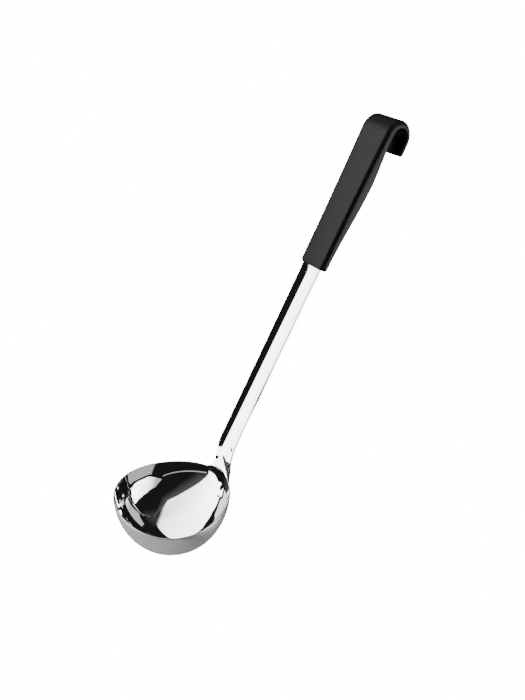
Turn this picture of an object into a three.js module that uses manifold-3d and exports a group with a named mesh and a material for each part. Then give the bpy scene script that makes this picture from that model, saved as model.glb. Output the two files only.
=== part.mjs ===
// A ladle with a polished steel bowl and stem and a black moulded grip, hanging plumb by its hook.
//
// Millimetres. The origin is the top of the hook's hollow, where a rail bears on it. +Z runs up the stem,
// +Y points to the back, where the hook turns down, and the bowl reaches forwards, to -Y.

import * as THREE from 'three';
import { mergeVertices } from 'three/addons/utils/BufferGeometryUtils.js';
import Module from 'manifold-3d';

const { degToRad, lerp, smoothstep } = THREE.MathUtils;

// Every two pieces that meet keep this gap
const JOINT_GAP = 0.3;

// Longest facets: along bends, along nearly straight runs, round the tab and round the bowl
const BEND_STEP = 2.6;
const RUN_STEP = 10;
const TAB_STEP = degToRad(2);
const BOWL_STEP = degToRad(7.6);
const CORNER_FACETS = 4; // in the quarter turn of a small rounding
const ROUND_FACETS = 24; // in a full turn of a weld or its hole
const SAME_POINT = 1e-4; // points this close are one

// Bowl: one pressing, a deep round cup whose rim rises in a pointed tab in front of the stem
const BOWL_RADIUS = 40; // mean outside radius of the rim
const BOWL_DEPTH = 38.9; // outside, from the rim to the bottom
const BOWL_WALL = 1;
const RIM_OVAL = 0.4; // added to the rim's radius at front and back, taken off at the sides
const RIM_LOBE = 1.5; // the rim is drawn out to three soft corners, one of them at the stem
const TAB_HEIGHT = 16; // above the rim
const TAB_SLOPE = 1.54; // rise of the tab's straight sides for each millimetre inwards
const TAB_TIP = 1.4; // rounding of its point
const TAB_FILLET = 1.2; // softness of the hollow corners between tab and rim
const BRIM = degToRad(8); // the part of the wall below the rim that is drawn up with the tab

// Stem: one strip, from a foot on the outside of the bowl to a tang inside the grip
const STEM_WIDTH = 16.6;
const STEM_SHEET = 1.5;
const STEM_STRAIGHT = 134.5; // from the bend of the neck to the grip
const STEM_LEAN = degToRad(28.6); // between the stem and the axis of the bowl
const STEM_CROWN = 0.9; // bulge of the channel's front
const CROWN_RUN = 12; // length over which the bulge rises above the neck
const CROWN_FADE = 8; // length over which it flattens below the grip
const FOLD_INSIDE = 0.5; // inside radius of the channel's turned back edges
const FOLD_RUN = 60; // length over which the edges turn back, above the neck
const LIP_AT_NECK = 0.3; // straight part of the edges behind the fold, where they start
const LIP_AT_GRIP = 1.7; // and where they end
const NECK_RISE = 9.15; // upright length above the rim
const NECK_BEND = 40; // radius of the bend above that
const FOOT_LENGTH = 24; // below the rim, along the bowl
const FOOT_TIP = degToRad(20); // the round end of the foot is cut off this far from its middle
const TANG_WIDTH = 12;
const TANG_LENGTH = 76; // inside the grip
const TANG_COIN = 0.1; // pressed off each face of the strip
const TANG_ROOT = 4; // length that the tang shares with the channel
const TANG_CORNER = 3;
const KEY_SIDE = 3; // steel left on either side of the tang's holes
const KEY_PITCH = 22;
const KEY_FIRST = 18; // from the grip's lower end

// Welds: three plugs of weld metal that fill holes in the foot
const WELD_RADIUS = 2.2;
const WELD_CAP = 0.35; // how far a plug stands proud
const WELD_SPREAD = 3.9; // of the two upper plugs, to either side
const WELD_UPPER = 6.5; // from the rim down to the upper plugs, along the bowl
const WELD_LOWER = 8.5; // from the foot's end up to the lower plug

// Grip: one moulding, flat in front, swelling behind, with a hook that turns over a rail
const GRIP_LENGTH = 110; // from the top of the hook to the lower end
const GRIP_PROUD = 1.5; // in front of the stem's edges
const GRIP_WIDTH = 22.1; // along its lower part
const GRIP_FLARE = 75; // length over which it widens, below the hook
const FLARE_POWER = 1.6; // how much of the widening comes near the hook
const GRIP_END_DEPTH = 6.2;
const GRIP_BELLY_DEPTH = 10.35;
const GRIP_BELLY_RISE = 62.5; // from the lower end to the deepest place
const GRIP_END_CORNER = 2.4; // rounding of the lower end, seen from the front
const GRIP_END_EDGE = 0.7; // and seen from the side
const GRIP_FRONT_EDGE = 2.75; // rounding along the front and the outside of the hook
const GRIP_BACK_EDGE = 1.2; // rounding along the back and the inside of the hook
const HOOK_WIDTH = 24.6;
const HOOK_GAP = 13.3; // clear width of the hollow
const HOOK_LEG = 6.7; // depth of the grip where the hook starts
const HOOK_CROWN = 5; // thickness over the rail
const HOOK_TAIL = 4.75; // thickness of the free end
const TAIL_LENGTH = 8.6; // straight part of the free end
const TAIL_FLARE = 0.7; // how far its inside leans away from the grip
const TAIL_EDGE = 1.6; // rounding of its tip

// Places that follow from those sizes
const GRIP_FRONT_Y = -HOOK_GAP / 2 - HOOK_LEG;
const STEM_Y = GRIP_FRONT_Y + GRIP_PROUD;
const GRIP_END_Z = HOOK_CROWN - GRIP_LENGTH;
const STEM_END_Z = GRIP_END_Z - JOINT_GAP;
const STEM_HALF = STEM_WIDTH / 2;
const FOLD_RADIUS = FOLD_INSIDE + STEM_SHEET;
const NECK_FACE = BOWL_RADIUS + RIM_OVAL + RIM_LOBE + JOINT_GAP;
const NECK_LENGTH = NECK_RISE + NECK_BEND * STEM_LEAN;
const STEM_LENGTH = NECK_LENGTH + STEM_STRAIGHT;

const wasm = await Module();
wasm.setup();

const polishedSteel = { color: 0xd9dadc, roughness: 0.12, metalness: 1 };
const satinSteel = { color: 0xb9bbbd, roughness: 0.3, metalness: 1 };
const blackPlastic = { color: 0x1b1b1c, roughness: 0.5, metalness: 0 };

// count + 1 values from first to last
function spread(first, last, count) {
  return Array.from({ length: count + 1 }, (_, i) => lerp(first, last, i / count));
}

// Values from first to last, no further apart than the longest step
function steps(first, last, longest) {
  return spread(first, last, Math.ceil(Math.abs(last - first) / longest));
}

// A closed body from points and triangles: shared points merged, empty triangles dropped, faces turned out
function closedBody(points, triangles) {
  const soup = new THREE.BufferGeometry();
  soup.setAttribute('position', new THREE.Float32BufferAttribute(points.flatMap((p) => p.toArray()), 3));
  soup.setIndex(triangles);
  const body = mergeVertices(soup, SAME_POINT);
  const position = body.getAttribute('position');
  const corner = (i) => new THREE.Vector3().fromBufferAttribute(position, i);
  const kept = [];
  let volume = 0;
  for (let i = 0; i < body.index.count; i += 3) {
    const [a, b, c] = [0, 1, 2].map((k) => body.index.getX(i + k));
    if (a === b || b === c || c === a) continue;
    kept.push([a, b, c]);
    volume += corner(a).dot(corner(b).cross(corner(c)));
  }
  body.setIndex(kept.flatMap(([a, b, c]) => (volume > 0 ? [a, b, c] : [a, c, b])));
  return body;
}

// A sheet between two grids of points that match row by row, joined round its columns if it is a cup
function sheetBody(front, back, isCup) {
  const rows = front.length;
  const columns = front[0].length;
  const points = [...front.flat(), ...back.flat()];
  const triangles = [];
  const at = (side, row, column) => (side * rows + row) * columns + (column % columns);
  const quad = (a, b, c, d) => triangles.push(a, b, c, a, c, d);
  const spans = isCup ? columns : columns - 1;
  for (let row = 0; row < rows - 1; row += 1) {
    for (let i = 0; i < spans; i += 1) {
      quad(at(0, row, i), at(0, row, i + 1), at(0, row + 1, i + 1), at(0, row + 1, i));
      quad(at(1, row, i), at(1, row + 1, i), at(1, row + 1, i + 1), at(1, row, i + 1));
    }
    if (!isCup) {
      quad(at(0, row, 0), at(0, row + 1, 0), at(1, row + 1, 0), at(1, row, 0));
      quad(at(0, row, spans), at(1, row, spans), at(1, row + 1, spans), at(0, row + 1, spans));
    }
  }
  for (let i = 0; i < spans; i += 1) {
    quad(at(0, rows - 1, i), at(0, rows - 1, i + 1), at(1, rows - 1, i + 1), at(1, rows - 1, i));
    if (!isCup) quad(at(0, 0, i), at(1, 0, i), at(1, 0, i + 1), at(0, 0, i + 1));
  }
  return closedBody(points, triangles);
}

// A bar through a row of rings of points, with a flat face on each end
function barBody(rings) {
  const count = rings[0].length;
  const points = rings.flat();
  const triangles = [];
  for (let k = 0; k < rings.length - 1; k += 1) {
    for (let i = 0; i < count; i += 1) {
      const [a, b] = [k * count + i, k * count + ((i + 1) % count)];
      triangles.push(a, b, b + count, a, b + count, a + count);
    }
  }
  for (const [first, ring] of [[0, rings[0]], [(rings.length - 1) * count, rings.at(-1)]]) {
    const middle = ring.reduce((sum, p) => sum.add(p), new THREE.Vector3()).divideScalar(count);
    const hub = points.push(middle) - 1;
    for (let i = 0; i < count; i += 1) {
      const [a, b] = [first + i, first + ((i + 1) % count)];
      triangles.push(...(first === 0 ? [hub, b, a] : [hub, a, b]));
    }
  }
  return closedBody(points, triangles);
}

// Joins and cuts
function toSolid(geometry) {
  const bare = geometry.clone();
  bare.deleteAttribute('normal');
  bare.deleteAttribute('uv');
  const merged = mergeVertices(bare, SAME_POINT);
  const mesh = new wasm.Mesh({
    numProp: 3,
    vertProperties: Float32Array.from(merged.getAttribute('position').array),
    triVerts: Uint32Array.from(merged.index.array),
  });
  return new wasm.Manifold(mesh);
}

function fromSolid(solid) {
  const { vertProperties, triVerts } = solid.getMesh();
  const geometry = new THREE.BufferGeometry();
  geometry.setAttribute('position', new THREE.Float32BufferAttribute(vertProperties, 3));
  geometry.setIndex(Array.from(triVerts));
  return geometry;
}

function namedMesh(name, geometry, finish) {
  const mesh = new THREE.Mesh(geometry, new THREE.MeshStandardMaterial(finish));
  mesh.name = name;
  mesh.geometry.computeVertexNormals();
  return mesh;
}

// The bowl has a frame of its own: Z is its axis, the rim lies at zero, and the stem is on the +Y side.
// Its shape is given by the turn from the stem, the angle below the rim and the distance outside the wall.
function bowlPoint(turn, below, outside) {
  const lobes = (1 - Math.sin(below)) * (RIM_OVAL * Math.cos(2 * turn) + RIM_LOBE * Math.cos(3 * turn));
  const radius = (BOWL_RADIUS + lobes + outside) * Math.cos(below);
  const height = -(BOWL_DEPTH + outside) * Math.sin(below);
  return new THREE.Vector3(radius * Math.sin(turn), radius * Math.cos(turn), height);
}

// How far the neck's bend has carried its face back at a height above the rim
function neckSetback(height) {
  const above = Math.max(0, height - NECK_RISE);
  return NECK_BEND - Math.sqrt(NECK_BEND ** 2 - above ** 2);
}

// The rim's height at a turn from the stem: level, but for the tab with its straight sides and round point
function rimHeight(turn) {
  const across = BOWL_RADIUS * Math.sin(turn);
  const inFront = Math.cos(turn) > 0;
  const reach = inFront ? Math.hypot(across, TAB_TIP) : BOWL_RADIUS;
  const side = TAB_HEIGHT + TAB_SLOPE * (TAB_TIP - reach);
  return (side + Math.hypot(side, 2 * TAB_FILLET)) / 2;
}

function makeBowl() {
  const tabTurn = (TAB_HEIGHT / TAB_SLOPE + 3 * TAB_TIP) / BOWL_RADIUS;
  const rightTurns = steps(0, tabTurn, TAB_STEP);
  const leftTurns = rightTurns.slice(1).reverse().map((turn) => -turn);
  const otherTurns = steps(tabTurn, 2 * Math.PI - tabTurn, BOWL_STEP).slice(1, -1);
  const turns = [...leftTurns, ...rightTurns, ...otherTurns];
  const cupRows = steps(Math.PI / 2, BRIM, BOWL_STEP);
  const brimRows = spread(0, 1, Math.ceil(TAB_HEIGHT / (2 * BEND_STEP))).slice(1);
  const skin = (outside) => {
    const cup = cupRows.map((below) => turns.map((turn) => bowlPoint(turn, below, outside)));
    const edge = brimRows.map((share) => turns.map((turn) => {
      const height = lerp(-BOWL_DEPTH * Math.sin(BRIM), rimHeight(turn), share);
      const below = Math.asin(Math.max(0, -height) / BOWL_DEPTH);
      const point = bowlPoint(turn, below, outside);
      point.y += neckSetback(height);
      point.z = height;
      return point;
    }));
    return [...cup, ...edge];
  };
  return namedMesh('bowl', sheetBody(skin(0), skin(-BOWL_WALL), true), polishedSteel);
}

// Where the stem's face is at a distance along it from the rim, in the bowl's frame, and how far it leans
function neckStation(along) {
  const lean = Math.min(Math.max(along - NECK_RISE, 0) / NECK_BEND, STEM_LEAN);
  const upright = Math.min(along, NECK_RISE);
  const straight = Math.max(along - NECK_LENGTH, 0);
  const back = NECK_FACE + NECK_BEND * (1 - Math.cos(lean)) + straight * Math.sin(lean);
  const height = upright + NECK_BEND * Math.sin(lean) + straight * Math.cos(lean);
  return { back, height, lean };
}

// Half of the stem's section, from its middle to its edge: the face of a flat strip, the face of the folded
// channel, and the channel's outward direction there, each as a distance across and a distance forwards
function halfSection(crown, lip) {
  const edgeSlope = Math.atan((2 * crown) / (STEM_HALF - FOLD_RADIUS));
  const webHalf = STEM_HALF - FOLD_RADIUS * (1 - Math.sin(edgeSlope));
  const web = spread(0, 1, CORNER_FACETS).map((share) => {
    const slope = edgeSlope * share;
    const across = webHalf * share;
    return {
      strip: new THREE.Vector2(across, crown * (1 - share ** 2)),
      channel: new THREE.Vector2(across, crown * (1 - share ** 2)),
      out: new THREE.Vector2(Math.sin(slope), Math.cos(slope)),
    };
  });
  const slopes = spread(edgeSlope, Math.PI / 2, CORNER_FACETS - 1).slice(1);
  const fold = slopes.map((slope, i) => {
    const out = new THREE.Vector2(Math.sin(slope), Math.cos(slope));
    const centre = new THREE.Vector2(STEM_HALF - FOLD_RADIUS, -FOLD_RADIUS * Math.cos(edgeSlope));
    return {
      strip: new THREE.Vector2(lerp(webHalf, STEM_HALF, (i + 1) / (slopes.length + 1)), 0),
      channel: centre.addScaledVector(out, FOLD_RADIUS),
      out,
    };
  });
  const edge = {
    strip: new THREE.Vector2(STEM_HALF, 0),
    channel: new THREE.Vector2(STEM_HALF, -FOLD_RADIUS - lip),
    out: new THREE.Vector2(1, 0),
  };
  return [...web, ...fold, edge];
}

// One row of points across the stem, on its face or, a sheet's thickness behind, on its back
function stemRow(along, behind) {
  const crownStart = TAB_HEIGHT + JOINT_GAP;
  const rise = smoothstep(along, crownStart, crownStart + CROWN_RUN);
  const fade = smoothstep(along, STEM_LENGTH - CROWN_FADE, STEM_LENGTH - CROWN_FADE / 4);
  const crown = STEM_CROWN * rise * (1 - fade);
  const folded = smoothstep(along, crownStart, crownStart + FOLD_RUN);
  const lip = lerp(LIP_AT_NECK, LIP_AT_GRIP, along / STEM_LENGTH);
  const wrapped = 1 - smoothstep(along, 0, NECK_RISE);
  const { back, height, lean } = neckStation(along);
  const flat = new THREE.Vector2(0, 1);
  const half = halfSection(crown, lip).map(({ strip, channel, out }) => {
    const onStrip = strip.clone().addScaledVector(flat, -behind);
    const onChannel = channel.clone().addScaledVector(out, -behind);
    const place = onStrip.lerp(onChannel, folded);
    const free = new THREE.Vector3(place.x, back, height);
    free.addScaledVector(new THREE.Vector3(0, -Math.cos(lean), Math.sin(lean)), place.y);
    const onBowl = bowlPoint(strip.x / BOWL_RADIUS, 0, JOINT_GAP + behind);
    onBowl.z += along;
    return free.lerp(onBowl, wrapped);
  });
  return mirrored(half);
}

// One row of points across the foot, which lies on the bowl
function footRow(below, halfWidth, behind) {
  const half = halfSection(0, LIP_AT_NECK).map(({ strip }) => {
    const turn = ((strip.x / STEM_HALF) * halfWidth) / BOWL_RADIUS;
    return bowlPoint(turn, below / BOWL_RADIUS, JOINT_GAP + behind);
  });
  return mirrored(half);
}

function mirrored(half) {
  const left = half.slice(1).reverse().map((p) => new THREE.Vector3(-p.x, p.y, p.z));
  return [...left, ...half];
}

// The bowl's frame, placed so that the straight stem ends at the grip
function headMatrix() {
  const { back, height } = neckStation(STEM_LENGTH);
  const end = new THREE.Vector3(0, back, height).applyAxisAngle(new THREE.Vector3(1, 0, 0), STEM_LEAN);
  const origin = new THREE.Vector3(0, STEM_Y, STEM_END_Z).sub(end);
  return new THREE.Matrix4().makeRotationX(STEM_LEAN).setPosition(origin);
}

// A weld's frame within the bowl's: its origin on the bowl's outside, its Y straight out of the wall
function weldMatrix({ across, below }) {
  const turn = across / BOWL_RADIUS;
  const seat = bowlPoint(turn, below / BOWL_RADIUS, 0);
  const out = bowlPoint(turn, below / BOWL_RADIUS, 1).sub(seat).normalize();
  const turned = new THREE.Quaternion().setFromUnitVectors(new THREE.Vector3(0, 1, 0), out);
  return new THREE.Matrix4().compose(seat, turned, new THREE.Vector3(1, 1, 1));
}

const welds = [
  { name: 'weld_left', across: -WELD_SPREAD, below: WELD_UPPER },
  { name: 'weld_right', across: WELD_SPREAD, below: WELD_UPPER },
  { name: 'weld_lower', across: 0, below: FOOT_LENGTH - WELD_LOWER },
];

function makeWeld(weld) {
  const top = JOINT_GAP + STEM_SHEET;
  const dome = spread(0, Math.PI / 2, CORNER_FACETS).map((angle) => {
    return new THREE.Vector2(WELD_RADIUS * Math.cos(angle), top + WELD_CAP * Math.sin(angle));
  });
  dome.at(-1).x = 0;
  const profile = [new THREE.Vector2(0, JOINT_GAP), new THREE.Vector2(WELD_RADIUS, JOINT_GAP), ...dome];
  const lathe = toSolid(closedLathe(profile, ROUND_FACETS));
  const mesh = namedMesh(weld.name, fromSolid(lathe), satinSteel);
  mesh.applyMatrix4(weldMatrix(weld));
  return mesh;
}

// A lathe turned about Y whose profile starts and ends on the axis
function closedLathe(profile, segments) {
  const lathe = new THREE.LatheGeometry(profile, segments);
  const position = lathe.getAttribute('position');
  const points = Array.from({ length: position.count }, (_, i) => {
    return new THREE.Vector3().fromBufferAttribute(position, i);
  });
  return closedBody(points, Array.from(lathe.index.array));
}

// The flat tang and, with a clearance, the slot moulded round it. The holes shrink by the clearance, so
// that the slot leaves a key of plastic in each.
function tangPlate(clearance) {
  const half = TANG_WIDTH / 2 + clearance;
  const bottom = STEM_END_Z - TANG_ROOT;
  const top = GRIP_END_Z + TANG_LENGTH + clearance;
  const corner = TANG_CORNER + clearance;
  const outline = new THREE.Shape();
  outline.moveTo(-half, bottom);
  outline.lineTo(half, bottom);
  outline.lineTo(half, top - corner);
  outline.absarc(half - corner, top - corner, corner, 0, Math.PI / 2);
  outline.lineTo(-half + corner, top);
  outline.absarc(-half + corner, top - corner, corner, Math.PI / 2, Math.PI);
  outline.closePath();
  const holeRadius = TANG_WIDTH / 2 - KEY_SIDE - clearance;
  for (let along = KEY_FIRST; along < TANG_LENGTH - TANG_WIDTH / 2; along += KEY_PITCH) {
    const hole = new THREE.Path();
    hole.absarc(0, GRIP_END_Z + along, holeRadius, 0, 2 * Math.PI);
    outline.holes.push(hole);
  }
  const depth = STEM_SHEET - 2 * TANG_COIN + 2 * clearance;
  const curveSegments = ROUND_FACETS / 2;
  const plate = new THREE.ExtrudeGeometry(outline, { depth, bevelEnabled: false, curveSegments });
  plate.rotateX(Math.PI / 2);
  plate.translate(0, STEM_Y + TANG_COIN - clearance + depth, 0);
  return toSolid(plate);
}

function makeStem() {
  const roundRows = spread(FOOT_TIP, Math.PI / 2, CORNER_FACETS).map((angle) => ({
    below: FOOT_LENGTH - STEM_HALF * (1 - Math.cos(angle)),
    halfWidth: STEM_HALF * Math.sin(angle),
  }));
  const sideRows = steps(FOOT_LENGTH - STEM_HALF, 0, BEND_STEP).slice(1, -1).map((below) => ({
    below,
    halfWidth: STEM_HALF,
  }));
  const neckRows = [
    ...steps(0, NECK_RISE, BEND_STEP),
    ...steps(NECK_RISE, NECK_LENGTH, BEND_STEP).slice(1),
    ...steps(NECK_LENGTH, STEM_LENGTH - CROWN_FADE, RUN_STEP).slice(1),
    ...steps(STEM_LENGTH - CROWN_FADE, STEM_LENGTH, BEND_STEP).slice(1),
  ];
  const skin = (behind) => [
    ...[...roundRows, ...sideRows].map(({ below, halfWidth }) => footRow(below, halfWidth, behind)),
    ...neckRows.map((along) => stemRow(along, behind)),
  ];
  const head = headMatrix();
  const strip = sheetBody(skin(0), skin(STEM_SHEET), false).applyMatrix4(head);
  const holeRadius = WELD_RADIUS + JOINT_GAP;
  const through = 4 * STEM_SHEET;
  const drills = welds.map((weld) => {
    const drill = new THREE.CylinderGeometry(holeRadius, holeRadius, through, ROUND_FACETS);
    return toSolid(drill.applyMatrix4(head.clone().multiply(weldMatrix(weld))));
  });
  const drilled = drills.reduce((solid, drill) => solid.subtract(drill), toSolid(strip));
  return namedMesh('stem', fromSolid(drilled.add(tangPlate(0))), polishedSteel);
}

// One ring of the grip between a place on its outside and a place on its inside, in the plane of symmetry
function gripRing({ outer, inner, halfWidth, narrowed = 0, thinned = 0 }) {
  const inwards = inner.clone().sub(outer).normalize();
  const depth = inner.distanceTo(outer) - 2 * thinned;
  const half = halfWidth - narrowed;
  const shrink = depth / inner.distanceTo(outer);
  const front = GRIP_FRONT_EDGE * shrink;
  const back = GRIP_BACK_EDGE * shrink;
  const corners = [
    { across: half - front, deep: front, radius: front, from: -Math.PI / 2 },
    { across: half - back, deep: depth - back, radius: back, from: 0 },
    { across: back - half, deep: depth - back, radius: back, from: Math.PI / 2 },
    { across: front - half, deep: front, radius: front, from: Math.PI },
  ];
  return corners.flatMap(({ across, deep, radius, from }) => {
    return spread(from, from + Math.PI / 2, CORNER_FACETS).map((angle) => {
      const place = outer.clone().addScaledVector(inwards, thinned + deep + radius * Math.sin(angle));
      return new THREE.Vector3(across + radius * Math.cos(angle), place.x, place.y);
    });
  });
}

// The grip's rings: up the straight part, over the hook and down its free end. Places are (y, z).
function gripRings() {
  const outerRadius = (HOOK_LEG + HOOK_GAP + HOOK_TAIL) / 2;
  const innerRadius = HOOK_GAP / 2;
  const outerCentre = new THREE.Vector2((HOOK_TAIL - HOOK_LEG) / 2, HOOK_CROWN - outerRadius);
  const innerCentre = new THREE.Vector2(0, -innerRadius);
  const hookHalf = HOOK_WIDTH / 2;
  const bellyZ = GRIP_END_Z + GRIP_BELLY_RISE;
  const straightRing = (z, narrowed, thinned) => {
    const swell = lerp(GRIP_END_DEPTH, GRIP_BELLY_DEPTH, smoothstep(z, GRIP_END_Z, bellyZ));
    const depth = lerp(swell, HOOK_LEG, smoothstep(z, bellyZ, outerCentre.y));
    const flare = Math.max(0, 1 - (outerCentre.y - z) / GRIP_FLARE);
    const halfWidth = lerp(GRIP_WIDTH / 2, hookHalf, flare ** FLARE_POWER);
    const outer = new THREE.Vector2(GRIP_FRONT_Y, z);
    const inner = new THREE.Vector2(GRIP_FRONT_Y + depth, z);
    return gripRing({ outer, inner, halfWidth, narrowed, thinned });
  };
  const endRings = spread(0, Math.PI / 2, CORNER_FACETS).map((angle) => {
    const z = GRIP_END_Z + GRIP_END_CORNER * (1 - Math.cos(angle));
    const cut = 1 - Math.sin(angle);
    return straightRing(z, GRIP_END_CORNER * cut, GRIP_END_EDGE * cut);
  });
  const straightPlaces = steps(GRIP_END_Z + GRIP_END_CORNER, outerCentre.y, RUN_STEP / 2).slice(1, -1);
  const straightRings = straightPlaces.map((z) => straightRing(z, 0, 0));
  const hookRings = spread(0, Math.PI, 4 * CORNER_FACETS).map((turn) => {
    const arm = new THREE.Vector2(-Math.cos(turn), Math.sin(turn));
    const outer = outerCentre.clone().addScaledVector(arm, outerRadius);
    const inner = innerCentre.clone().addScaledVector(arm, innerRadius);
    return gripRing({ outer, inner, halfWidth: hookHalf });
  });
  const tailRing = (drop, thinned) => {
    const outer = outerCentre.clone().add(new THREE.Vector2(outerRadius, -drop));
    const lean = (TAIL_FLARE * drop) / TAIL_LENGTH;
    const inner = new THREE.Vector2(innerRadius + lean, outer.y + (innerCentre.y - outerCentre.y));
    return gripRing({ outer, inner, halfWidth: hookHalf, narrowed: thinned, thinned });
  };
  const tailDrops = steps(0, TAIL_LENGTH - TAIL_EDGE, BEND_STEP).slice(1);
  const tailRings = tailDrops.map((drop) => tailRing(drop, 0));
  const tipRings = spread(0, Math.PI / 2, CORNER_FACETS).slice(1).map((angle) => {
    return tailRing(TAIL_LENGTH - TAIL_EDGE * (1 - Math.sin(angle)), TAIL_EDGE * (1 - Math.cos(angle)));
  });
  return [...endRings, ...straightRings, ...hookRings, ...tailRings, ...tipRings];
}

function makeGrip() {
  const moulding = toSolid(barBody(gripRings()));
  return namedMesh('handle', fromSolid(moulding.subtract(tangPlate(JOINT_GAP))), blackPlastic);
}

const head = new THREE.Group();
head.applyMatrix4(headMatrix());
head.add(makeBowl(), ...welds.map(makeWeld));

const ladle = new THREE.Group();
ladle.add(head, makeStem(), makeGrip());

export default ladle;
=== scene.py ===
import math

import bmesh
import bpy
from mathutils import Matrix, Vector


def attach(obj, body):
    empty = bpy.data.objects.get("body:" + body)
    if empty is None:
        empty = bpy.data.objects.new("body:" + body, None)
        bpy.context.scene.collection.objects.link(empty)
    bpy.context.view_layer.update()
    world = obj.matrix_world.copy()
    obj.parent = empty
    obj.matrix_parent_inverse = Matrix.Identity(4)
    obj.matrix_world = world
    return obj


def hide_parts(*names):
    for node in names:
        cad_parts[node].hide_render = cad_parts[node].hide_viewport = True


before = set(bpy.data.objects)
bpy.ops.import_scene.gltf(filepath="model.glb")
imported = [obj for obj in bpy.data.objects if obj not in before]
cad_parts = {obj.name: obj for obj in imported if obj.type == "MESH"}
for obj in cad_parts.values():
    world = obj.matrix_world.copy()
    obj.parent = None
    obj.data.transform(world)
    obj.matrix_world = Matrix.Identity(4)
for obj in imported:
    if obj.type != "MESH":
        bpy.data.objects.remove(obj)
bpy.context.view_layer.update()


# Bowl. One pressing of stainless sheet: a deep cup whose rim, drawn out to three soft corners, rises to a
# pointed tab in front of the stem. It is buffed to a mirror inside and brushed to a satin outside, round
# its axis. Its sheared edge is rounded over and rough, and its steel there is painted dark: a painted shade
# line along the rim.

BOWL_PLACE = Vector((0, -0.03964, -0.28718))  # middle of the rim
BOWL_TILT = math.radians(28.6)
BOWL_RADIUS = 0.040
BOWL_DEPTH = 0.0389
BOWL_WALL = 0.001
RIM_OVAL = 0.0004
RIM_LOBE = 0.0015
TAB_HEIGHT = 0.016
TAB_SLOPE = 1.54
TAB_TIP = 0.0014
TAB_FILLET = 0.0012
BRIM = math.radians(8)
NECK_RISE = 0.00915  # the tab stands upright to here, then follows the bend of the neck
NECK_BEND = 0.040

BOWL_FRAME = Matrix.Translation(BOWL_PLACE) @ Matrix.Rotation(BOWL_TILT, 4, "X")


def spread(first, last, count):
    return [first + (last - first) * i / count for i in range(count + 1)]


def smoothstep(value, low, high):
    share = min(max((value - low) / (high - low), 0), 1)
    return share * share * (3 - 2 * share)


def lerp(a, b, share):
    return a + (b - a) * share


def bowl_point(turn, below, outside):
    fade = 1 - math.sin(below)
    lobes = fade * (RIM_OVAL * math.cos(2 * turn) + RIM_LOBE * math.cos(3 * turn))
    radius = (BOWL_RADIUS + lobes + outside) * math.cos(below)
    height = -(BOWL_DEPTH + outside) * math.sin(below)
    return Vector((radius * math.sin(turn), radius * math.cos(turn), height))


def brim_point(turn, height, outside):
    below = math.asin(max(0, -height) / BOWL_DEPTH)
    above = max(0, height - NECK_RISE)
    setback = NECK_BEND - math.sqrt(NECK_BEND**2 - above**2)
    point = bowl_point(turn, below, outside)
    return Vector((point.x, point.y + setback, height))


def rim_height(turn):
    reach = math.hypot(BOWL_RADIUS * math.sin(turn), TAB_TIP) if math.cos(turn) > 0 else BOWL_RADIUS
    side = TAB_HEIGHT + TAB_SLOPE * (TAB_TIP - reach)
    return (side + math.hypot(side, 2 * TAB_FILLET)) / 2


def bowl_rows():
    tab_turn = (TAB_HEIGHT / TAB_SLOPE + 3 * TAB_TIP) / BOWL_RADIUS
    turns = spread(-tab_turn, tab_turn, 72) + spread(tab_turn, 2 * math.pi - tab_turn, 156)[1:-1]
    edge = BOWL_WALL / 2
    foot = -BOWL_DEPTH * math.sin(BRIM)

    def wall(outside):
        cup = [
            [bowl_point(turn, below, outside) for turn in turns]
            for below in spread(math.pi / 2, BRIM, 44)
        ]
        brim = [
            [brim_point(turn, lerp(foot, rim_height(turn) - edge, share), outside) for turn in turns]
            for share in spread(0, 1, 14)[1:]
        ]
        return cup + brim

    lip = [
        [
            brim_point(turn, rim_height(turn) - edge + edge * math.sin(roll), edge * (math.cos(roll) - 1))
            for turn in turns
        ]
        for roll in spread(0, math.pi, 10)[1:-1]
    ]
    return wall(0), lip, wall(-BOWL_WALL)[::-1]


def lofted(name, rows, place=Matrix.Identity(4), capped=False):
    """A smooth piece through rows of points, each row joined into a ring."""
    mesh = bmesh.new()
    grid = [[mesh.verts.new(place @ point) for point in row] for row in rows]
    for near, far in zip(grid, grid[1:]):
        for i in range(len(near)):
            j = (i + 1) % len(near)
            mesh.faces.new((near[i], near[j], far[j], far[i]))
    if capped:
        mesh.faces.new(grid[0][::-1])
        mesh.faces.new(grid[-1])
    bmesh.ops.remove_doubles(mesh, verts=mesh.verts, dist=1e-7)
    bmesh.ops.recalc_face_normals(mesh, faces=mesh.faces)
    for face in mesh.faces:
        face.smooth = True
    data = bpy.data.meshes.new(name)
    mesh.to_mesh(data)
    mesh.free()
    piece = bpy.data.objects.new(name, data)
    bpy.context.scene.collection.objects.link(piece)
    return piece


class Value:
    """A socket of a finish's nodes that takes part in sums."""

    def __init__(self, finish, socket):
        self.finish = finish
        self.socket = socket

    def math(self, operation, first, second=0.0):
        return self.finish.node("Math", {"operation": operation}, {0: first, 1: second})

    def __add__(self, other):
        return self.math("ADD", self, other)

    def __radd__(self, other):
        return self.math("ADD", other, self)

    def __sub__(self, other):
        return self.math("SUBTRACT", self, other)

    def __rsub__(self, other):
        return self.math("SUBTRACT", other, self)

    def __mul__(self, other):
        return self.math("MULTIPLY", self, other)

    def __rmul__(self, other):
        return self.math("MULTIPLY", other, self)

    def __pow__(self, other):
        return self.math("POWER", self, other)

    def __rpow__(self, other):
        return self.math("POWER", other, self)


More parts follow.
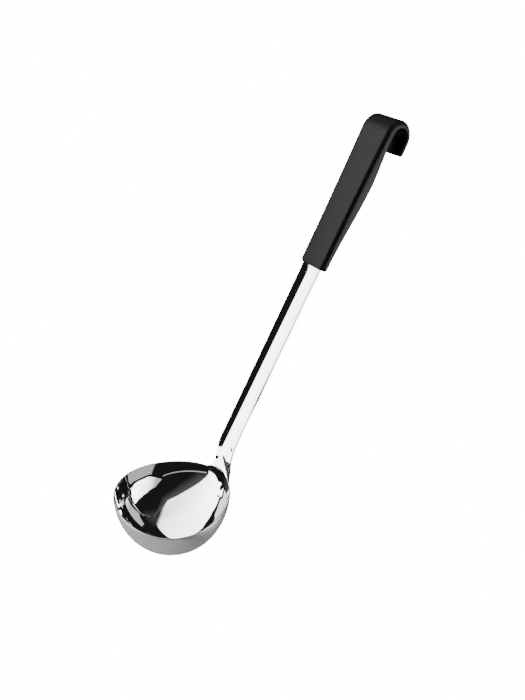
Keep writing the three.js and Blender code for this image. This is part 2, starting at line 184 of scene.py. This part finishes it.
class Finish:
    """A procedural finish on the Principled shader."""

    FIRST_COLOUR, LAST_COLOUR, MIXED_COLOUR = 6, 7, 2  # where a Mix node takes and gives colours

    def __init__(self, name, **fixed):
        self.material = bpy.data.materials.new(name)
        self.material.use_nodes = True
        self.tree = self.material.node_tree
        self.shader = self.tree.nodes["Principled BSDF"]
        self.put(fixed)

    def plug(self, socket, value):
        if isinstance(value, Value):
            self.tree.links.new(value.socket, socket)
        else:
            socket.default_value = value

    def put(self, sockets):
        for name, value in sockets.items():
            self.plug(self.shader.inputs[name.replace("_", " ")], value)

    def node(self, kind, settings=None, sockets=None, output=0):
        node = self.tree.nodes.new("ShaderNode" + kind)
        for name, value in (settings or {}).items():
            setattr(node, name, value)
        for name, value in (sockets or {}).items():
            self.plug(node.inputs[name], value)
        return Value(self, node.outputs[output])

    def place(self, location=(0, 0, 0), turn=(0, 0, 0), stretch=(1, 1, 1)):
        """Coordinates in a frame set into the object, stretched along its axes."""
        here = self.node("TexCoord", output="Object")
        framed = self.node(
            "Mapping", {"vector_type": "TEXTURE"}, {"Vector": here, "Location": location, "Rotation": turn}
        )
        return self.node("Mapping", None, {"Vector": framed, "Scale": stretch})

    def noise(self, vector, scale, detail=2.0, roughness=0.5):
        sockets = {"Vector": vector, "Scale": scale, "Detail": detail, "Roughness": roughness}
        return self.node("TexNoise", None, sockets)

    def ramp(self, value, low, high, first=0.0, last=1.0):
        sockets = {"Value": value, "From Min": low, "From Max": high, "To Min": first, "To Max": last}
        return self.node("MapRange", None, sockets)

    def tint(self, share, first, last):
        sockets = {"Factor": share, self.FIRST_COLOUR: (*first, 1), self.LAST_COLOUR: (*last, 1)}
        return self.node("Mix", {"data_type": "RGBA"}, sockets, output=self.MIXED_COLOUR)

    def bump(self, height, depth, normal=None):
        """Turns a height from 0 to 1 into relief of that depth in metres."""
        sockets = {"Height": height, "Distance": depth, "Strength": 1.0}
        if normal:
            sockets["Normal"] = normal
        return self.node("Bump", None, sockets)


def turned_lines(finish, location, turn, pitch):
    """Fine lines round an axis, as a spinning brush leaves them."""
    here = finish.place(location, turn)
    parts = [finish.node("SeparateXYZ", None, {"Vector": here}, output=i) for i in range(3)]
    radius = (parts[0] * parts[0] + parts[1] * parts[1]) ** 0.5
    arc = finish.node("Math", {"operation": "ARCTAN2"}, {0: parts[0], 1: parts[1]})
    across = finish.node("Math", {"operation": "ARCTAN2"}, {0: parts[2], 1: radius})
    lines = finish.node("CombineXYZ", None, {"X": across * (BOWL_RADIUS / pitch), "Y": arc * 3.0, "Z": 0.0})
    return finish.noise(lines, 1.0, 3.0, 0.6)


def bowl_mirror():
    finish = Finish("bowl_mirror", Metallic=1.0)
    here = finish.place(BOWL_PLACE, (BOWL_TILT, 0, 0))
    wave = finish.noise(here, 55.0, 1.0, 0.4)
    smear = finish.noise(here, 140.0, 4.0, 0.6)
    lines = turned_lines(finish, BOWL_PLACE, (BOWL_TILT, 0, 0), 0.00022)
    finish.put({
        "Base Color": finish.tint(smear, (0.80, 0.80, 0.81), (0.86, 0.86, 0.865)),
        "Roughness": finish.ramp(smear, 0.35, 0.75, 0.012, 0.03),
        "Normal": finish.bump(lines, 1.2e-7, finish.bump(wave, 1.2e-5)),
    })
    return finish.material


def bowl_edge_painted_dark():
    finish = Finish("bowl_edge_painted_dark", Metallic=1.0)
    grain = finish.noise(finish.place(), 900.0, 3.0, 0.6)
    finish.put({
        # The edge's base colour is painted dark, a painted shade line along the rim; only its roughness is
        # the edge's own.
        "Base Color": finish.tint(grain, (0.17, 0.17, 0.172), (0.24, 0.24, 0.242)),
        "Roughness": finish.ramp(grain, 0.3, 0.7, 0.36, 0.5),
        "Normal": finish.bump(grain, 2e-6),
    })
    return finish.material


def bowl_satin():
    finish = Finish("bowl_satin", Metallic=1.0)
    here = finish.place(BOWL_PLACE, (BOWL_TILT, 0, 0))
    cloud = finish.noise(here, 90.0, 3.0, 0.55)
    lines = turned_lines(finish, BOWL_PLACE, (BOWL_TILT, 0, 0), 0.00016)
    finish.put({
        "Base Color": finish.tint(lines, (0.66, 0.66, 0.67), (0.78, 0.78, 0.785)),
        "Roughness": finish.ramp(cloud, 0.3, 0.7, 0.26, 0.34) + lines * 0.06,
        "Normal": finish.bump(lines, 1.2e-6),
    })
    return finish.material


outer_rows, lip_rows, inner_rows = bowl_rows()
bowl = lofted("ladle_bowl", outer_rows + lip_rows + inner_rows, BOWL_FRAME)
for skin in (bowl_satin(), bowl_edge_painted_dark(), bowl_mirror()):
    bowl.data.materials.append(skin)
bowl_back = BOWL_FRAME.inverted()
EDGE_TURN = 0.8  # from here the rolled edge has turned into a wall
BUFFED_TURN = 0.7  # and from here inwards the buffing wheel has shaped it


def inwardness(place, normal):
    """From -1 on the bowl's outside to 1 on its inside, and about 0 on top of its edge."""
    middle = bowl_back @ place
    return (bowl_back.to_3x3() @ normal).dot((Vector((0, 0, max(0, middle.z))) - middle).normalized())


POLISH_RISE = 0.0165  # the buffed inside faces a point this far above the rim, as a flatter cup would
POLISH_RIGHT = 0.022  # and this much higher on the right wall, where it is flatter still
POLISH_RIGHT_FOOT = 0.010
POLISH_BY_TAB = 0.0065
POLISH_BY_NECK = 0.014
POLISH_LEFT = 0.004
POLISH_LEFT_FAR = 0.007
POLISH_LEFT_END = 0.006
POLISH_LEFT_SLIDE = 0.0038
POLISH_LEFT_SWING = 0.004
POLISH_TAB = 0.002
POLISH_BOTTOM = Vector((0.82, -0.57, 0)) * 0.0022


def faced_point(here):
    """The point that the buffed inside faces at a place on it, both in the bowl's own frame."""
    height = here.z
    rightward = math.degrees(math.atan2(here.x, here.y))  # round the rim, from the tab
    leftward = -rightward

    # Flatter under the rim beside the tab, and all down the right wall.
    under_rim = smoothstep(height, -0.0055, -0.0080) * smoothstep(height, -0.0155, -0.0135)
    by_tab = POLISH_BY_TAB * smoothstep(rightward, -1, 3)
    beside = lerp(by_tab, POLISH_BY_NECK, smoothstep(rightward, 7, 10))
    beside *= under_rim * smoothstep(rightward, 60, 30)
    rise = max(POLISH_RIGHT * smoothstep(abs(rightward - 45), 40, 5), beside)
    right_foot = smoothstep(rightward, 22, 31) * smoothstep(rightward, 60, 40)
    rise += POLISH_RIGHT_FOOT * right_foot * smoothstep(height, -0.021, -0.026)

    # The left rim turns up and to the left, and flatter towards its far end.
    left_rim = smoothstep(leftward, 107, 113) * smoothstep(height, -0.0145, -0.0115)
    far = smoothstep(leftward, 119.5, 123.5)
    near_rise = POLISH_LEFT * smoothstep(height, -0.010, -0.006)
    end_rise = POLISH_LEFT_END * smoothstep(leftward, 127, 135)
    rise += left_rim * (lerp(near_rise, POLISH_LEFT_FAR, far) + end_rise)
    slide = left_rim * lerp(POLISH_LEFT_SLIDE, 0, far)

    # The wall before it turns forwards, as far as a faint crease that leans forwards lower down.
    crease = 110 + 6.5 * smoothstep(height, -0.013, -0.020)
    swing = POLISH_LEFT_SWING * smoothstep(leftward, crease + 1.5, crease - 1.5)
    swing *= smoothstep(leftward, 88, 100) * smoothstep(height, -0.034, -0.027)

    # The tab is flat from side to side, and the bottom lies a little off the axis.
    on_tab = smoothstep(height, 0.001, 0.004)
    rise += POLISH_TAB * on_tab
    shift = POLISH_BOTTOM * smoothstep(height, -0.030, -0.037)
    return shift + Vector((here.x * on_tab - slide, -swing, POLISH_RISE + rise + max(0, height)))


for face in bowl.data.polygons:
    inward = inwardness(face.center, face.normal)
    face.material_index = 0 if inward < -EDGE_TURN else 1 if inward < EDGE_TURN else 2
normals = []
for corner in bowl.data.vertices:
    facing = BOWL_FRAME @ faced_point(bowl_back @ corner.co) - corner.co
    buffed = inwardness(corner.co, corner.normal) > BUFFED_TURN
    normals.append(facing.normalized() if buffed else Vector((0, 0, 0)))
bowl.data.normals_split_custom_set_from_vertices(normals)
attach(bowl, "root")
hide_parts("bowl")


# Stem. One pressing of 1.5 mm stainless strip: a foot that lies on the back of the bowl, a neck that bends
# upright, a shallow channel with its edges turned back, and a flat tang inside the grip. It is buffed along
# its length to a mirror.

STEM_WIDTH = 0.0166
STEM_SHEET = 0.0015
STEM_STRAIGHT = 0.1355  # its last millimetre is inside the grip
STEM_CROWN = 0.0009
CROWN_RUN = 0.012
FOLD_RADIUS = 0.0006
FOLD_RUN = 0.060
LIP_AT_NECK = 0.0003
LIP_AT_GRIP = 0.0017
FOOT_LENGTH = 0.024
FOOT_TIP = math.radians(20)
FOOT_SEAT = 0.0003  # between the foot and the bowl
TANG_WIDTH = 0.012
TANG_LENGTH = 0.0753
TANG_CORNER = 0.003
TANG_SETBACK = 0.0001
TANG_THINNED = 0.8667  # the tang is pressed to this share of the strip's thickness
STEM_BEVEL = 0.0002
STEM_EASE = 0.42  # the buffing wheel evens out this share of each bend along the stem

STEM_HALF = STEM_WIDTH / 2
NECK_FACE = BOWL_RADIUS + RIM_OVAL + RIM_LOBE + FOOT_SEAT
NECK_LENGTH = NECK_RISE + NECK_BEND * BOWL_TILT
STEM_LENGTH = NECK_LENGTH + STEM_STRAIGHT


def half_section(crown, lip):
    """From the middle to the edge: a flat strip's face, the channel's face and its outward direction."""
    edge_slope = math.atan(2 * crown / (STEM_HALF - FOLD_RADIUS))
    web_half = STEM_HALF - FOLD_RADIUS * (1 - math.sin(edge_slope))
    section = []
    for share in spread(0, 1, 14):
        slope = edge_slope * share
        face = Vector((web_half * share, crown * (1 - share**2)))
        section.append((face, face, Vector((math.sin(slope), math.cos(slope)))))
    slopes = spread(edge_slope, math.pi / 2, 8)[1:]
    centre = Vector((STEM_HALF - FOLD_RADIUS, -FOLD_RADIUS * math.cos(edge_slope)))
    for i, slope in enumerate(slopes):
        out = Vector((math.sin(slope), math.cos(slope)))
        strip = Vector((lerp(web_half, STEM_HALF, (i + 1) / (len(slopes) + 1)), 0))
        section.append((strip, centre + out * FOLD_RADIUS, out))
    section.append((Vector((STEM_HALF, 0)), Vector((STEM_HALF, -FOLD_RADIUS - lip)), Vector((1, 0))))
    return section


def stem_row(along, behind):
    crown_start = TAB_HEIGHT + FOOT_SEAT
    rise = smoothstep(along, crown_start, crown_start + CROWN_RUN)
    folded = smoothstep(along, crown_start, crown_start + FOLD_RUN)
    wrapped = 1 - smoothstep(along, 0, NECK_RISE)
    lean = min(max(along - NECK_RISE, 0) / NECK_BEND, BOWL_TILT)
    straight = max(along - NECK_LENGTH, 0)
    back = NECK_FACE + NECK_BEND * (1 - math.cos(lean)) + straight * math.sin(lean)
    height = min(along, NECK_RISE) + NECK_BEND * math.sin(lean) + straight * math.cos(lean)
    forwards = Vector((0, -math.cos(lean), math.sin(lean)))
    half = []
    lip = lerp(LIP_AT_NECK, LIP_AT_GRIP, along / STEM_LENGTH)
    for strip, channel, out in half_section(STEM_CROWN * rise, lip):
        place = (strip - Vector((0, behind))).lerp(channel - out * behind, folded)
        free = Vector((place.x, back, height)) + forwards * place.y
        on_bowl = bowl_point(strip.x / BOWL_RADIUS, 0, FOOT_SEAT + behind) + Vector((0, 0, along))
        half.append(free.lerp(on_bowl, wrapped))
    return half


def foot_row(below, half_width, behind):
    half = []
    for strip, _, _ in half_section(0, LIP_AT_NECK):
        turn = strip.x / STEM_HALF * half_width / BOWL_RADIUS
        half.append(bowl_point(turn, below / BOWL_RADIUS, FOOT_SEAT + behind))
    return half


def tang_row(along, half_width, behind):
    up = Vector((0, math.sin(BOWL_TILT), math.cos(BOWL_TILT)))
    backwards = Vector((0, math.cos(BOWL_TILT), -math.sin(BOWL_TILT)))
    middle = stem_row(STEM_LENGTH, 0)[0]
    half = []
    for strip, _, _ in half_section(0, LIP_AT_NECK):
        across = Vector((strip.x / STEM_HALF * half_width, 0, 0))
        set_back = backwards * (TANG_SETBACK + behind * TANG_THINNED)
        half.append(middle + across + up * along + set_back)
    return half


def stem_rows():
    foot = [
        (FOOT_LENGTH - STEM_HALF * (1 - math.cos(angle)), STEM_HALF * math.sin(angle))
        for angle in spread(FOOT_TIP, math.pi / 2, 16)
    ]
    foot += [(below, STEM_HALF) for below in spread(FOOT_LENGTH - STEM_HALF, 0, 14)[1:-1]]
    body = (
        spread(0, NECK_RISE, 10)
        + spread(NECK_RISE, NECK_LENGTH, 24)[1:]
        + spread(NECK_LENGTH, STEM_LENGTH, 64)[1:]
    )
    tang_half = TANG_WIDTH / 2
    tang = [(0, tang_half), (TANG_LENGTH - TANG_CORNER, tang_half)]
    tang += [
        (TANG_LENGTH - TANG_CORNER * (1 - math.sin(a)), tang_half - TANG_CORNER * (1 - math.cos(a)))
        for a in spread(0, math.pi / 2, 6)[1:]
    ]

    def side(behind):
        rows = [foot_row(below, half_width, behind) for below, half_width in foot]
        rows += [stem_row(along, behind) for along in body]
        return rows + [tang_row(along, half_width, behind) for along, half_width in tang]

    rows = []
    for front, back in zip(side(0), side(STEM_SHEET)):
        mirrored = [[Vector((-p.x, p.y, p.z)) for p in half[:0:-1]] for half in (front, back)]
        rows.append(mirrored[0] + front + (mirrored[1] + back)[::-1])
    return rows


def stem_polish():
    finish = Finish("stem_polish", Metallic=1.0)
    wave = finish.noise(finish.place(stretch=(1, 1, 0.25)), 90.0, 1.0, 0.4)
    smear = finish.noise(finish.place(stretch=(1, 1, 0.4)), 220.0, 4.0, 0.6)
    lines = finish.noise(finish.place(stretch=(1, 1, 0.006)), 5200.0, 2.0, 0.6)
    facing = finish.node("NewGeometry", output="Normal")
    eased = finish.node("VectorMath", {"operation": "MULTIPLY"}, {0: facing, 1: (1, 1, STEM_EASE)})
    eased = finish.node("VectorMath", {"operation": "NORMALIZE"}, {0: eased})
    finish.put({
        "Base Color": finish.tint(smear, (0.82, 0.82, 0.83), (0.88, 0.88, 0.885)),
        "Roughness": finish.ramp(smear, 0.35, 0.75, 0.02, 0.05),
        "Normal": finish.bump(lines, 1.5e-7, finish.bump(wave, 6e-6, eased)),
    })
    return finish.material


stem = lofted("ladle_stem", stem_rows(), BOWL_FRAME, capped=True)
stem.data.materials.append(stem_polish())
edge_round = stem.modifiers.new("edge_round", "BEVEL")
edge_round.width = STEM_BEVEL
edge_round.segments = 2
edge_round.limit_method = "ANGLE"
edge_round.angle_limit = math.radians(40)
edge_round.harden_normals = True
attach(stem, "root")
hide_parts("stem")


# Plug welds. Three holes in the foot are filled with weld metal that ties it to the bowl, and each plug is
# dressed down to a low satin dome.

WELD_RADIUS = 0.0022
WELD_CAP = 0.00035
WELD_ROOT = 0.0008  # depth of each plug inside the foot
WELD_SPREAD = 0.0039
WELD_UPPER = 0.0065
WELD_LOWER = 0.0155


def weld_satin():
    finish = Finish("weld_satin", Metallic=1.0)
    here = finish.place()
    grain = finish.noise(here, 2600.0, 3.0, 0.6)
    heat = finish.noise(here, 420.0, 2.0, 0.5)
    finish.put({
        "Base Color": finish.tint(heat, (0.58, 0.55, 0.52), (0.72, 0.72, 0.73)),
        "Roughness": finish.ramp(grain, 0.3, 0.7, 0.24, 0.42),
        "Normal": finish.bump(grain, 1.5e-5),
    })
    return finish.material


weld_material = weld_satin()
WELDS = {
    "weld_left": (-WELD_SPREAD, WELD_UPPER),
    "weld_right": (WELD_SPREAD, WELD_UPPER),
    "weld_lower": (0, WELD_LOWER),
}
for node, (across, below) in WELDS.items():
    turn, drop = across / BOWL_RADIUS, below / BOWL_RADIUS
    seat = bowl_point(turn, drop, FOOT_SEAT + STEM_SHEET)
    outward = (seat - bowl_point(turn, drop, 0)).normalized()
    upright = Vector((0, 0, 1)).rotation_difference(outward).to_matrix().to_4x4()
    profile = [(WELD_RADIUS, -WELD_ROOT), (WELD_RADIUS, 0)]
    profile += [(WELD_RADIUS * math.cos(a), WELD_CAP * math.sin(a)) for a in spread(0, math.pi / 2, 12)[1:]]
    rings = [
        [Vector((r * math.cos(a), r * math.sin(a), h)) for a in spread(0, 2 * math.pi, 48)[:-1]]
        for r, h in profile
    ]
    weld = lofted("plug_" + node, rings, BOWL_FRAME @ Matrix.Translation(seat) @ upright)
    weld.data.materials.append(weld_material)
    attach(weld, "root")
    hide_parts(node)


# Grip. One moulding of black polypropylene round the tang: flat in front, swelling behind, and turned over
# at the top into a hook for a rail. The mould leaves it with a fine satin grain and well rounded edges.

GRIP_LENGTH = 0.110
GRIP_WIDTH = 0.0221
GRIP_FLARE = 0.075
FLARE_POWER = 1.6
GRIP_END_DEPTH = 0.0062
GRIP_BELLY_DEPTH = 0.01035
GRIP_BELLY_RISE = 0.0625
GRIP_END_CORNER = 0.0024
GRIP_END_EDGE = 0.0007
GRIP_FRONT_EDGE = 0.00275
GRIP_BACK_EDGE = 0.0012
HOOK_WIDTH = 0.0246
HOOK_GAP = 0.0133
HOOK_LEG = 0.0067
HOOK_CROWN = 0.005
HOOK_TAIL = 0.00475
TAIL_LENGTH = 0.0086
TAIL_FLARE = 0.0007
TAIL_EDGE = 0.0016

GRIP_FRONT_Y = -HOOK_GAP / 2 - HOOK_LEG
GRIP_END_Z = HOOK_CROWN - GRIP_LENGTH


def grip_ring(outer, inner, half_width, narrowed=0, thinned=0):
    """A ring between a place on the outside and one on the inside, each (y, z) in the plane of symmetry."""
    full = (inner - outer).length
    inwards = (inner - outer) / full
    depth = full - 2 * thinned
    half = half_width - narrowed
    front, back = GRIP_FRONT_EDGE * depth / full, GRIP_BACK_EDGE * depth / full
    corners = [
        (half - front, front, front, -math.pi / 2),
        (half - back, depth - back, back, 0),
        (back - half, depth - back, back, math.pi / 2),
        (front - half, front, front, math.pi),
    ]
    ring = []
    for across, deep, radius, start in corners:
        for angle in spread(start, start + math.pi / 2, 8):
            y, z = outer + inwards * (thinned + deep + radius * math.sin(angle))
            ring.append(Vector((across + radius * math.cos(angle), y, z)))
    return ring


def grip_rows():
    outer_radius = (HOOK_LEG + HOOK_GAP + HOOK_TAIL) / 2
    inner_radius = HOOK_GAP / 2
    outer_centre = Vector(((HOOK_TAIL - HOOK_LEG) / 2, HOOK_CROWN - outer_radius))
    inner_centre = Vector((0, -inner_radius))
    hook_half = HOOK_WIDTH / 2
    hook_z = outer_centre.y
    belly_z = GRIP_END_Z + GRIP_BELLY_RISE

    def straight(z, narrowed=0, thinned=0):
        swell = lerp(GRIP_END_DEPTH, GRIP_BELLY_DEPTH, smoothstep(z, GRIP_END_Z, belly_z))
        depth = lerp(swell, HOOK_LEG, smoothstep(z, belly_z, hook_z))
        flare = max(0, 1 - (hook_z - z) / GRIP_FLARE)
        half_width = lerp(GRIP_WIDTH / 2, hook_half, flare**FLARE_POWER)
        outer = Vector((GRIP_FRONT_Y, z))
        return grip_ring(outer, outer + Vector((depth, 0)), half_width, narrowed, thinned)

    def tail(drop, thinned=0):
        outer = outer_centre + Vector((outer_radius, -drop))
        lean = TAIL_FLARE * drop / TAIL_LENGTH
        inner = Vector((inner_radius + lean, inner_centre.y - drop))
        return grip_ring(outer, inner, hook_half, thinned, thinned)

    rows = []
    for angle in spread(0, math.pi / 2, 8):
        cut = 1 - math.sin(angle)
        z = GRIP_END_Z + GRIP_END_CORNER * (1 - math.cos(angle))
        rows.append(straight(z, GRIP_END_CORNER * cut, GRIP_END_EDGE * cut))
    rows += [straight(z) for z in spread(GRIP_END_Z + GRIP_END_CORNER, hook_z, 64)[1:-1]]
    for turn in spread(0, math.pi, 56):
        arm = Vector((-math.cos(turn), math.sin(turn)))
        outer, inner = outer_centre + arm * outer_radius, inner_centre + arm * inner_radius
        rows.append(grip_ring(outer, inner, hook_half))
    rows += [tail(drop) for drop in spread(0, TAIL_LENGTH - TAIL_EDGE, 8)[1:]]
    for angle in spread(0, math.pi / 2, 8)[1:]:
        drop = TAIL_LENGTH - TAIL_EDGE * (1 - math.sin(angle))
        rows.append(tail(drop, TAIL_EDGE * (1 - math.cos(angle))))
    return rows


def grip_plastic():
    finish = Finish("grip_plastic", Specular_IOR_Level=0.01, Coat_Roughness=0.33)
    here = finish.place()
    grain = finish.noise(here, 3200.0, 2.0, 0.5)
    cloud = finish.noise(here, 60.0, 3.0, 0.55)
    facing = finish.node("NewGeometry", output="Normal")
    upward = finish.node("SeparateXYZ", None, {"Vector": facing}, output=2)
    finish.put({
        "Base Color": finish.tint(cloud, (0.0042, 0.0042, 0.0043), (0.0058, 0.0058, 0.0059)),
        "Roughness": finish.ramp(cloud, 0.3, 0.7, 0.3, 0.36),
        # Coat Weight fades on faces that point up: painted shade that keeps the top of the hook dark, by
        # facing rather than by any property of the plastic.
        "Coat Weight": finish.ramp(upward, 0.02, 0.42, 0.17, 0.0),
        "Normal": finish.bump(grain, 8e-6),
    })
    return finish.material


grip = lofted("ladle_grip", grip_rows(), capped=True)
grip.data.materials.append(grip_plastic())
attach(grip, "root")
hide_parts("handle")


# Studio. A white floor and backdrop, both blown out, and a round light tent that only the ladle sees: white
# cloth in front, an unlit slot for the camera, a lit wall on the right, dim panels at the left and behind,
# and a dim floor. The camera stands on the ladle's right and is rolled, so the stem leans across.

TENT_LIGHT = 8.0
TENT_RADIUS = 5.0
BACKDROP_LIGHT = 16.0
BACKDROP_RADIUS = 8.0
FLOOR_Z = -0.9
CAMERA_PLACE = Vector((0.3456, -0.4073, -0.0744))
CAMERA_RIGHT = Vector((0.62302, 0.65985, 0.42006))
CAMERA_UP = Vector((-0.42808, -0.16183, 0.88914))
CAMERA_LENS = 39.86


def ball_rows(radius):
    return [
        [
            Vector((math.cos(up) * math.cos(turn), math.cos(up) * math.sin(turn), math.sin(up))) * radius
            for turn in spread(0, 2 * math.pi, 64)[:-1]
        ]
        for up in spread(-math.pi / 2, math.pi / 2, 32)
    ]


def white_glow():
    finish = Finish("white_glow", Base_Color=(0, 0, 0, 1), Emission_Color=(1, 1, 1, 1))
    finish.put({"Emission Strength": BACKDROP_LIGHT, "Specular IOR Level": 0.0})
    return finish.material


def tent_cloth():
    """The tent's light by heading, in degrees: turn from the front to the right, and up from level."""
    finish = Finish("tent_cloth", Base_Color=(0, 0, 0, 1))
    heading = finish.node("VectorMath", {"operation": "NORMALIZE"}, {0: finish.place()})
    x, y, z = (finish.node("SeparateXYZ", None, {"Vector": heading}, output=i) for i in range(3))
    turn = finish.node("Math", {"operation": "ARCTAN2"}, {0: x, 1: 0.0 - y}) * math.degrees(1)
    up = finish.node("Math", {"operation": "ARCSINE"}, {0: z}) * math.degrees(1)

    def between(value, low, high, soft=1.0):
        return finish.ramp(value - low, 0, soft) * finish.ramp(value - high, 0, -soft)

    # White cloth in front, from an unlit gap on its left to the camera's slot, with one dark fold low down.
    slot_edge = finish.ramp(up, -20, 40, -13, 17.3) + finish.ramp(up, 40, 55, 0, 11)
    gap_edge = finish.ramp(up, -34, -31, -60, -51) + finish.ramp(up, -31, -5, 0, 9)
    gap_edge = gap_edge + finish.ramp(up, -5, -4, 0, -8.5) + finish.ramp(up, -2, 14, 0, -5)
    gap_edge = gap_edge + finish.ramp(up, 14, 24, 0, -8) + finish.ramp(up, 24, 54, 0, -29.5)
    cloth = between(turn, gap_edge, slot_edge, 1.5) * finish.ramp(up, -46, -41)
    cloth = cloth * finish.ramp(up, 0, 80, 0.95, 0.45) * finish.ramp(turn, -30, 0, 1.0, 0.62)
    cloth = cloth * (1 - between(up, -31.3, -24.7, 1.0) * finish.ramp(turn, -30, -27))
    cloth = cloth * finish.ramp(x + y, -0.09, -0.24) ** 3

    # The slot is dark, but for light spilt past the cloth's edge and a thin seam that rises to the right.
    past = turn - slot_edge
    spill = finish.ramp(past, 0, 19, 0.0135, 0.0) * finish.ramp(past, -1, 0) * finish.ramp(up, -20, -8)
    seam_up = -16.05 + turn * 0.4205 + turn * turn * 0.00329
    seam = between(up - seam_up, -1.2, 1.2, 0.4) * between(turn, -10, 62) * 0.085

    # A lit wall on the right, a dim shelf below it and a bright panel farther round.
    wall_foot = finish.ramp(turn, 90, 112, 27.5, 35) + finish.ramp(turn, 112, 120, 0, 5)
    wall_head = finish.ramp(turn, 66, 86, 42, 50.5) + finish.ramp(turn, 86, 92, 0, 5.7)
    wall_head = wall_head + finish.ramp(turn, 92, 120, 0, 6)
    wall = between(up, wall_foot, wall_head) * between(turn - up * 0.58, 44, 111, 2.0)
    wall = wall * finish.ramp(turn, 72, 106, 0.1, 0.95)
    shelf_head = wall_foot - finish.ramp(turn, 108, 118, 3, 6)
    shelf = between(up, -10, shelf_head) * between(turn, 84, 150, 4.0) * 0.08
    side = between(turn, 128, 160, 3.0) * between(up, -16, 14, 3.0) * 0.9

    # Two dim panels behind, one above the other.
    away = finish.node("Math", {"operation": "ABSOLUTE"}, {0: turn})
    back_edge = away + finish.ramp(turn, 0, -1, 0, 10) - up * 0.36
    back = finish.ramp(back_edge, 138, 141) * between(up, 41.5, 69, 2.0) * finish.ramp(up, 43, 50, 0.35, 0.1)
    rear = finish.ramp(away, 160, 174) * between(up, -6, 28, 5.0) * 0.06

    # Two dim panels on the left, past the unlit gap.
    flank_edge = gap_edge - finish.ramp(up, 4, 21.5, 3.2, 8)
    flank = between(turn, -90, flank_edge, 1.5) * between(up, -3, 36, 1.0)
    flank = flank * finish.ramp(turn, -60, -75, 0.27, 0.17)
    left = between(turn, -158, -88, 8.0) * between(up, -12, 36, 6.0) * 0.05

    # The floor, darker behind, and a faint light all round that grows overhead.
    ground_edge = finish.ramp(away, 125, 140, -42, -17)
    ground = finish.ramp(y, 0.9, 0.2, 0.023, 0.077) * finish.ramp(x, 0.3, -0.6, 0.85, 1.15)
    ground = ground * finish.ramp(up - ground_edge, 0, -3)
    faint = finish.ramp(up, 76, 88, 0.0016, 0.0075)

    light = cloth + spill + seam + wall + shelf + side + back + rear + flank + left + ground + faint
    finish.put({"Emission Color": light, "Emission Strength": TENT_LIGHT, "Specular IOR Level": 0.0})
    return finish.material


def staged(piece, material, seen):
    """A piece of the studio, seen by the camera only or by everything but the camera."""
    piece.data.materials.append(material)
    piece.visible_camera = seen
    piece.visible_diffuse = piece.visible_glossy = not seen
    piece.visible_transmission = piece.visible_volume_scatter = not seen
    piece.visible_shadow = False


glow = white_glow()
floor_rows = [
    [
        Vector((reach * math.cos(turn), reach * math.sin(turn), FLOOR_Z))
        for turn in spread(0, 2 * math.pi, 64)[:-1]
    ]
    for reach in (0, BACKDROP_RADIUS)
]
staged(lofted("floor", floor_rows), glow, True)
staged(lofted("backdrop", ball_rows(BACKDROP_RADIUS)), glow, True)
staged(lofted("light_tent", ball_rows(TENT_RADIUS)), tent_cloth(), False)

camera = bpy.data.objects.new("camera", bpy.data.cameras.new("camera"))
camera.data.lens = CAMERA_LENS
camera.data.clip_start = 0.01
aim = Matrix((CAMERA_RIGHT, CAMERA_UP, CAMERA_RIGHT.cross(CAMERA_UP))).transposed()
camera.matrix_world = Matrix.Translation(CAMERA_PLACE) @ aim.to_4x4()
bpy.context.scene.collection.objects.link(camera)
bpy.context.scene.camera = camera

world = bpy.data.worlds.new("studio")
world.use_nodes = True
world.node_tree.nodes["Background"].inputs["Strength"].default_value = 0
bpy.context.scene.world = world
